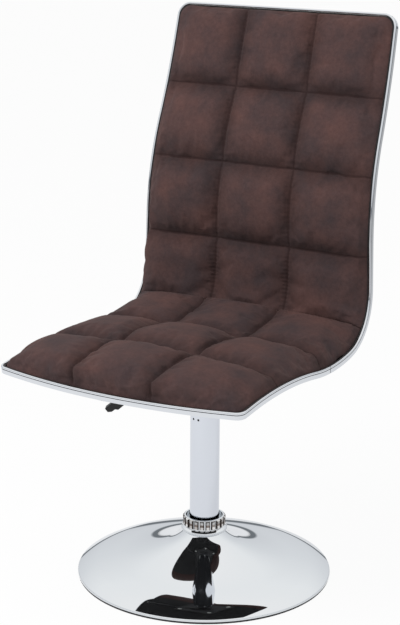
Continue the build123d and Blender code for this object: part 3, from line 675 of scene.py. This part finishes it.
def reach_edge(flat):
    """Ease the foam's front and top out to the shell's edge."""
    across, along, out = flat.T.copy()
    front_gap = front_reach + across**2 / 2 * (1 / foam_bow - 1 / front_bow)
    along -= front_gap * np.clip(1 - along / front_ease, 0, 1)
    top_line, foam_line = np.interp((top_height, foam_top), line_z[back_line], line_s[back_line])
    along += (top_line - foam_line + top_overhang) * np.clip(1 - (foam_line - along) / top_ease, 0, 1)
    # the filling stands a little higher along the sides than the foam does
    side = np.clip((np.abs(across) / pad_half_width(along) - 0.55) / 0.3, 0, 1)
    lift = np.interp(along, side_lift_places, side_lifts) * side**2 * (3 - 2 * side)
    out += lift * np.clip(out / full_height, 0, 1)
    # on the left, the lowest row of the back is squeezed out over the piping
    squeeze = np.interp(along, squeezed_places, (0, 1, 1, 0), left=0, right=0)
    left = np.clip((-across / pad_half_width(along) - 0.6) / 0.3, 0, 1)
    squeeze *= left**2 * (3 - 2 * left) * np.clip(out / full_height, 0, 1)
    out += squeezed_up * squeeze
    across -= squeezed_out * squeeze
    return np.stack([across, along, out], 1)


def tuck_foot(flat, tuck_inset):
    """Draw the cover's foot out towards the piping, all along the edge."""
    edge = whole_outline(tuck_inset)
    foot = np.clip(1 - flat[:, 2] / full_height, 0, 1) ** 1.5
    low = np.flatnonzero(foot > 0)
    for first in range(0, len(low), 4096):
        some = low[first : first + 4096]
        reach = edge[None, :, :] - flat[some, None, :2]
        gaps = (reach**2).sum(2)
        nearest = gaps.argmin(1)
        short = np.sqrt(gaps[np.arange(len(some)), nearest])
        draw = foot[some] * np.clip(1 - (short / tuck_reach) ** 2, 0, 1)
        flat[some, :2] += reach[np.arange(len(some)), nearest] * draw[:, None]
    return flat


def seam_distance(flat, rows):
    """How far each point lies from the nearest sewn line, in metres."""
    across, along = flat[:, 0], flat[:, 1]
    half = pad_half_width(along)
    seams = [half * (2 * k / pad_columns - 1) for k in range(1, pad_columns)]
    column_gap = np.min([np.abs(across - seam) for seam in seams], axis=0)
    row_gap = np.min([np.abs(along - row) for row in rows], axis=0)
    return np.minimum(column_gap, row_gap), column_gap, row_gap


pad_swell, pad_voxel, settle_steps = 0.006, 0.0045, 20
held_seam, held_foot, held_end = 0.0028, 0.001, 0.004
row_drop, row_reach = 0.0030, 0.0024
valley_drop, valley_reach, valley_fade = 0.0022, 0.0110, 0.040
fold_pitch, fold_middle, fold_row = 0.0080, 0.51, 0.09
beneath_gap = 0.05


def quilted_pad(name, node, rows, tuck_inset, column_drop, column_reach, pucker):
    """Fill a pad: remesh the sewn shape, blow it up between its seams, then pull the seams in."""
    pad = merged_copy(name, node)
    remesh = pad.modifiers.new("cut", "REMESH")
    remesh.mode = "VOXEL"
    remesh.voxel_size = pad_voxel
    bake_modifiers(pad)
    flat = reach_edge(unbend(vertex_places(pad.data)))
    start = bend(flat)
    pad.data.vertices.foreach_set("co", start.ravel())
    gap, _, _ = seam_distance(flat, rows)
    end_gap = np.abs(flat[:, 1] - crease)
    held = (gap < held_seam) | (flat[:, 2] < held_foot) | (end_gap < held_end)
    sewn = pad.vertex_groups.new(name="sewn")
    sewn.add([int(i) for i in np.flatnonzero(held)], 1.0, "REPLACE")
    filling = pad.modifiers.new("filling", "CLOTH")
    cloth = filling.settings
    cloth.vertex_group_mass = "sewn"
    cloth.use_pressure = True
    cloth.uniform_pressure_force = 4.0
    cloth.effector_weights.gravity = 0.0
    cloth.shrink_min = -0.03
    cloth.quality = 6
    for step in range(1, settle_steps + 1):
        bpy.context.scene.frame_set(step)
    bake_modifiers(pad)
    moved = vertex_places(pad.data) - start
    length = np.linalg.norm(moved, axis=1)
    limit = np.minimum(1.0, pad_swell / np.maximum(length, 1e-9))
    pad.data.vertices.foreach_set("co", (start + moved * limit[:, None]).ravel())
    bpy.context.scene.frame_set(1)
    finer = pad.modifiers.new("finer", "SUBSURF")
    finer.levels = finer.render_levels = 1
    bake_modifiers(pad)
    places = vertex_places(pad.data)
    flat = unbend(places)
    gap, column_gap, row_gap = seam_distance(flat, rows)
    normals = np.zeros(len(places) * 3)
    pad.data.vertices.foreach_get("normal", normals)
    normals = normals.reshape(-1, 3)
    upper = np.clip((flat[:, 2] - 0.002) / 0.004, 0, 1)
    # the rows' grooves run out towards the sides, where the filling closes over them
    from_side = np.clip((pad_half_width(flat[:, 1]) - np.abs(flat[:, 0])) / valley_fade, 0, 1)
    row_groove = row_drop * (0.3 + 0.7 * from_side) * np.exp(-((row_gap / row_reach) ** 2))
    column_groove = column_drop * np.exp(-((column_gap / column_reach) ** 2))
    valley = valley_drop * from_side * np.exp(-((row_gap / valley_reach) ** 2))
    # small folds gather beside the upright seams, where the cloth is drawn in along them
    phase = flat[:, 1] / fold_pitch + 0.4 * np.sin(flat[:, 1] / 0.021) + 3 * np.sign(flat[:, 0])
    low_row = np.clip(1 - np.abs(flat[:, 1] - fold_middle) / fold_row, 0, 1)
    folds = pucker * (1 + 2 * low_row) * np.sin(tau * phase) * np.exp(-((column_gap - 0.004) / 0.006) ** 2)
    places -= normals * ((np.maximum(row_groove, column_groove) + valley + folds) * upper)[:, None]
    # at its foot the cover spreads to meet the piping
    tucked = tuck_foot(unbend(places), tuck_inset)
    low = tucked[:, 2] < full_height
    places[low] = bend(tucked[low])
    pad.data.vertices.foreach_set("co", places.ravel())
    # underneath, no seam shows: the cloth there gets no painted seam shade and the crowns' full painted light
    beneath = np.where(flat[:, 2] < 0, beneath_gap, 0.0)
    for attribute, values in (
        ("row_gap", row_gap + beneath),
        ("column_gap", column_gap + beneath),
        ("seam_gap", gap + beneath),
    ):
        layer = pad.data.attributes.new(attribute, "FLOAT", "POINT")
        layer.data.foreach_set("value", values.astype(np.float32))
    for polygon in pad.data.polygons:
        polygon.use_smooth = True
    pad.data.materials.clear()
    pad.data.materials.append(pad_cloth)
    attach(pad, "seat")
    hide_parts(node)


quilted_pad(
    "quilted_seat",
    "seat_pad",
    seat_rows,
    tuck_inset=0.0064,
    column_drop=0.0042,
    column_reach=0.0036,
    pucker=0.0001,
)
quilted_pad(
    "quilted_back",
    "back_pad",
    back_rows,
    tuck_inset=0.0044,
    column_drop=0.0026,
    column_reach=0.0040,
    pucker=0.0003,
)

# ---------------------------------------------------------------------------
# Covers: the same cloth is stretched flat over the back of the board, and a
# black lining closes the seat from below. Both are tucked in under the trim.
# ---------------------------------------------------------------------------


cover_inset, cover_low, cover_high, cover_roll = 0.0024, -0.0114, -0.0101, 0.0006
cover_rows, cover_columns, cover_split = 90, 13, 0.385


def bent_sheet(rows, columns, place):
    """A grid whose points are placed flat by row and column, then bent onto the shell."""
    sheet = bmesh.new()
    bmesh.ops.create_grid(sheet, x_segments=rows, y_segments=columns, size=0.5)
    flat = [place(round((v.co.x + 0.5) * rows), round((v.co.y + 0.5) * columns)) for v in sheet.verts]
    for vert, point in zip(sheet.verts, bend(np.array(flat))):
        vert.co = point
    bmesh.ops.remove_doubles(sheet, verts=sheet.verts, dist=1e-6)
    open_edges = [edge for edge in sheet.edges if edge.is_boundary]
    bmesh.ops.holes_fill(sheet, edges=open_edges, sides=0)
    return sheet


def stretched_cover(name, first, last, material, node):
    """A thin cover under the board between two distances along it, its edges rolled round the board."""
    outline = half_outline(cover_inset)
    eased = (1 - np.cos(np.linspace(0, np.pi, cover_rows + 1))) / 2
    alongs = first + (last - first) * eased
    halves = np.interp(alongs, outline[:, 1], outline[:, 0])
    across = np.linspace(-1, 1, cover_columns)
    shares = np.concatenate([across, -across, [-1]])
    outs = np.repeat([cover_low, cover_high, cover_low], [cover_columns, cover_columns, 1])
    outs[[0, cover_columns - 1, 2 * cover_columns]] += cover_roll

    def place(row, column):
        roll = cover_roll if row in (0, cover_rows) and outs[column] < cover_high else 0.0
        return shares[column] * halves[row], alongs[row], min(outs[column] + roll, cover_high)

    finish_piece(name, bent_sheet(cover_rows, len(shares) - 1, place), "seat", material, [node])


outline = half_outline(cover_inset)
lining = plain_finish("black_lining", "#101012", 0.9, grain=0.6, grain_size=0.0012)
stretched_cover("lining_cloth", outline[0, 1], cover_split, lining, "underside_lining")
# The rear cloth carries no seam distances, so the cloth's painted seam shade darkens it all over.
stretched_cover("rear_cloth", cover_split, outline[-1, 1], pad_cloth, "back_cover")

# ---------------------------------------------------------------------------
# Edge trim: a chromed strip with a round bead, wrapped round the shell in two
# lengths with a butt joint, and a black vinyl piping laid inside it.
# ---------------------------------------------------------------------------
# The second colour is painted shade for the line under the bead.
trim_tint, groove_painted_shade = "#e2e4e7", "#2c2e32"
trim_chrome = polished_chrome("trim_chrome", trim_tint, 0.03)


def facing_out(run):
    """The outward directions beside an edge line that runs round the shell by these steps."""
    run = run / np.linalg.norm(run, axis=1)[:, None]
    return np.stack([run[:, 1], -run[:, 0]], 1)


def edge_strip(name, line, outward, section, closed, material, node):
    """Carry a section, given as (outwards, up) points, along an edge line of the shell."""

    def place(row, column):
        row %= len(line)
        side, up = section[column]
        return line[row][0] + outward[row][0] * side, line[row][1] + outward[row][1] * side, up

    rows = len(line) if closed else len(line) - 1
    return finish_piece(name, bent_sheet(rows, len(section) - 1, place), "seat", material, [node])


bead_radius, bead_proud, trim_thickness, trim_depth = 0.0021, 0.0006, 0.0016, 0.0100
bead_centre = (bead_proud - bead_radius, 0.0)

# Under the bead, a thin band of the chrome is painted dark as shade, and reads as a dark line.
groove_height, groove_reach = -0.0023, 0.0006
tree = trim_chrome.node_tree
chrome = next(node for node in tree.nodes if node.type == "BSDF_PRINCIPLED")
strip_height = add_node(tree, "ShaderNodeAttribute", {"attribute_name": "strip_height"})
groove_shade_band = add_node(
    tree,
    "ShaderNodeMath",
    {"operation": "COMPARE", 1: groove_height, 2: groove_reach},
    {0: strip_height.outputs["Fac"]},
)
shaded = add_node(
    tree,
    "ShaderNodeMixRGB",
    {"Color1": linear(trim_tint), "Color2": linear(groove_painted_shade)},
    {"Fac": groove_shade_band.outputs["Value"]},
)
tree.links.new(shaded.outputs["Color"], chrome.inputs["Base Color"])
trim_section = [
    *arc_points(bead_centre, bead_radius, -41, 274, 24),
    (-trim_thickness, -trim_depth),
    (0.0, -trim_depth),
]
trim_section.append(trim_section[0])
trim_joint, trim_gap = 0.313, 0.0014
right_edge = half_outline(0.0)
low_side = right_edge[right_edge[:, 1] < trim_joint - trim_gap / 2]
low_end = np.array([[np.interp(trim_joint, right_edge[:, 1], right_edge[:, 0]), trim_joint - trim_gap / 2]])
low_half = np.concatenate([low_side, low_end])
high_side = right_edge[right_edge[:, 1] > trim_joint + trim_gap / 2]
high_end = low_end + (0, trim_gap)
high_half = np.concatenate([high_end, high_side])
for name, line, slot_node in (
    ("trim_front", np.concatenate([low_half[::-1][:-1] * (-1, 1), low_half]), "trim_seat"),
    ("trim_rear", np.concatenate([high_half, high_half[::-1] * (-1, 1)]), "trim_back"),
):
    outward = facing_out(np.gradient(line, axis=0))
    strip = edge_strip(name, line, outward, trim_section, False, trim_chrome, slot_node)
    heights = strip.data.attributes.new("strip_height", "FLOAT", "POINT")
    heights.data.foreach_set("value", unbend(vertex_places(strip.data))[:, 2].astype(np.float32))

piping_vinyl = plain_finish("piping_vinyl", "#141212", 0.45, grain=0.3, grain_size=0.0008)
piping_centre, piping_radius = (-0.0053, -0.0004), 0.0016
piping_section = arc_points(piping_centre, piping_radius, 0, 360, 16)
loop = whole_outline(0.0)
loop_out = facing_out(np.roll(loop, -1, 0) - np.roll(loop, 1, 0))
edge_strip("vinyl_piping", loop, loop_out, piping_section, True, piping_vinyl, "edge_piping")

# ---------------------------------------------------------------------------
# Studio: a pale floor, soft lamps, and a white surround that chrome mirrors.
# The camera stands where the photographer's did.
# ---------------------------------------------------------------------------
floor_data = bmesh.new()
bmesh.ops.create_grid(floor_data, x_segments=1, y_segments=1, size=20.0)
floor_mesh = bpy.data.meshes.new("studio_floor")
floor_data.to_mesh(floor_mesh)
floor_data.free()
floor = bpy.data.objects.new("studio_floor", floor_mesh)
bpy.context.scene.collection.objects.link(floor)
floor_paint_and_glow, tree, output = new_material("floor_paint_and_glow")
rays = add_node(tree, "ShaderNodeLightPath")
paint = add_node(tree, "ShaderNodeBsdfDiffuse", {"Color": linear("#f4f4f4")})
glow = add_node(tree, "ShaderNodeEmission", {"Color": (1, 1, 1, 1), "Strength": 1.0})
floor_place = add_node(tree, "ShaderNodeTexCoord").outputs["Object"]
floor_reach = add_node(tree, "ShaderNodeVectorMath", {"operation": "LENGTH"}, {"Vector": floor_place})
floor_light = add_node(
    tree,
    "ShaderNodeMapRange",
    {"From Min": 1.3, "From Max": 3.2, "To Min": 1.0, "To Max": 0.55},
    {"Value": floor_reach.outputs["Value"]},
)
# For mirrored rays the floor is a painted glow that stands in for its lit surface, brightest near the chair
# and fading outwards.
mirrored_glow = add_node(
    tree, "ShaderNodeEmission", {"Color": linear("#f1f3f6")}, {"Strength": floor_light.outputs["Result"]}
)
seen_share = add_node(
    tree, "ShaderNodeMath", {"operation": "MULTIPLY", 1: 0.94}, {0: rays.outputs["Is Camera Ray"]}
)
seen = add_node(
    tree,
    "ShaderNodeMixShader",
    {},
    {"Fac": seen_share.outputs["Value"], 1: paint.outputs["BSDF"], 2: glow.outputs["Emission"]},
)
mirrored_share = add_node(
    tree, "ShaderNodeMath", {"operation": "MULTIPLY", 1: 0.75}, {0: rays.outputs["Is Glossy Ray"]}
)
mirrored = add_node(
    tree,
    "ShaderNodeMixShader",
    {},
    {"Fac": mirrored_share.outputs["Value"], 1: seen.outputs["Shader"], 2: mirrored_glow.outputs["Emission"]},
)
tree.links.new(mirrored.outputs["Shader"], output.inputs["Surface"])
floor_mesh.materials.append(floor_paint_and_glow)

surround = bpy.data.worlds.new("surround")
bpy.context.scene.world = surround
surround.use_nodes = True
tree = surround.node_tree
tree.nodes.clear()
output = tree.nodes.new("ShaderNodeOutputWorld")
rays = add_node(tree, "ShaderNodeLightPath")
room = add_node(tree, "ShaderNodeBackground", {"Color": (1, 1, 1, 1), "Strength": 0.58})
backdrop = add_node(tree, "ShaderNodeBackground", {"Color": (1, 1, 1, 1), "Strength": 1.0})
direction = add_node(tree, "ShaderNodeTexCoord").outputs["Generated"]
height = add_node(tree, "ShaderNodeSeparateXYZ", {}, {"Vector": direction})
dome = add_node(tree, "ShaderNodeValToRGB", {}, {"Fac": height.outputs["Z"]})
dome.color_ramp.elements[0].position = 0.045
dome.color_ramp.elements[0].color = linear("#74797e")
dome.color_ramp.elements[1].position = 0.95
dome.color_ramp.elements[1].color = linear("#ffffff")
for sine, tone in ((0.07, "#d9dce0"), (0.35, "#e6e9ec"), (0.6, "#f8fafb")):
    dome.color_ramp.elements.new(sine).color = linear(tone)
mirrored_room = add_node(tree, "ShaderNodeBackground", {"Strength": 1.0}, {"Color": dome.outputs["Color"]})
glossy = add_node(
    tree,
    "ShaderNodeMixShader",
    {},
    {
        "Fac": rays.outputs["Is Glossy Ray"],
        1: room.outputs["Background"],
        2: mirrored_room.outputs["Background"],
    },
)
camera_share = add_node(
    tree,
    "ShaderNodeMath",
    {"operation": "MAXIMUM"},
    {0: rays.outputs["Is Camera Ray"], 1: rays.outputs["Is Transmission Ray"]},
)
whole = add_node(
    tree,
    "ShaderNodeMixShader",
    {},
    {"Fac": camera_share.outputs["Value"], 1: glossy.outputs["Shader"], 2: backdrop.outputs["Background"]},
)
tree.links.new(whole.outputs["Shader"], output.inputs["Surface"])


def soft_lamp(name, place, aim, size, power):
    """A large square softbox that looks at a point on the chair."""
    lamp = bpy.data.lights.new(name, "AREA")
    lamp.shape = "SQUARE"
    lamp.size = size
    lamp.energy = power
    holder = bpy.data.objects.new(name, lamp)
    bpy.context.scene.collection.objects.link(holder)
    holder.location = place
    holder.rotation_euler = (Vector(aim) - Vector(place)).to_track_quat("-Z", "Y").to_euler()
    holder.visible_glossy = False


soft_lamp("key_softbox", (-0.9, -1.6, 2.75), (0, 0, 0.65), 1.5, 54.0)
soft_lamp("fill_softbox", (2.0, -2.0, 1.8), (0, 0, 0.5), 1.8, 8.0)

camera_data = bpy.data.cameras.new("camera")
camera_data.sensor_fit = "VERTICAL"
camera_data.sensor_height = 36.0
camera_data.lens = 96.54
camera_place = Vector((1.38981, -2.33354, 1.21210))
camera = bpy.data.objects.new("camera", camera_data)
bpy.context.scene.collection.objects.link(camera)
camera_right = Vector((0.8562415, 0.51652701, 0.00709496))
camera_up = Vector((-0.14260962, 0.22315706, 0.96429426))
camera_back = Vector((0.49650074, -0.82668058, 0.26473805))
camera_turn = Matrix((camera_right, camera_up, camera_back)).transposed().to_4x4()
camera.matrix_world = Matrix.Translation(camera_place) @ camera_turn
bpy.context.scene.camera = camera
bpy.context.scene.view_settings.view_transform = "Standard"
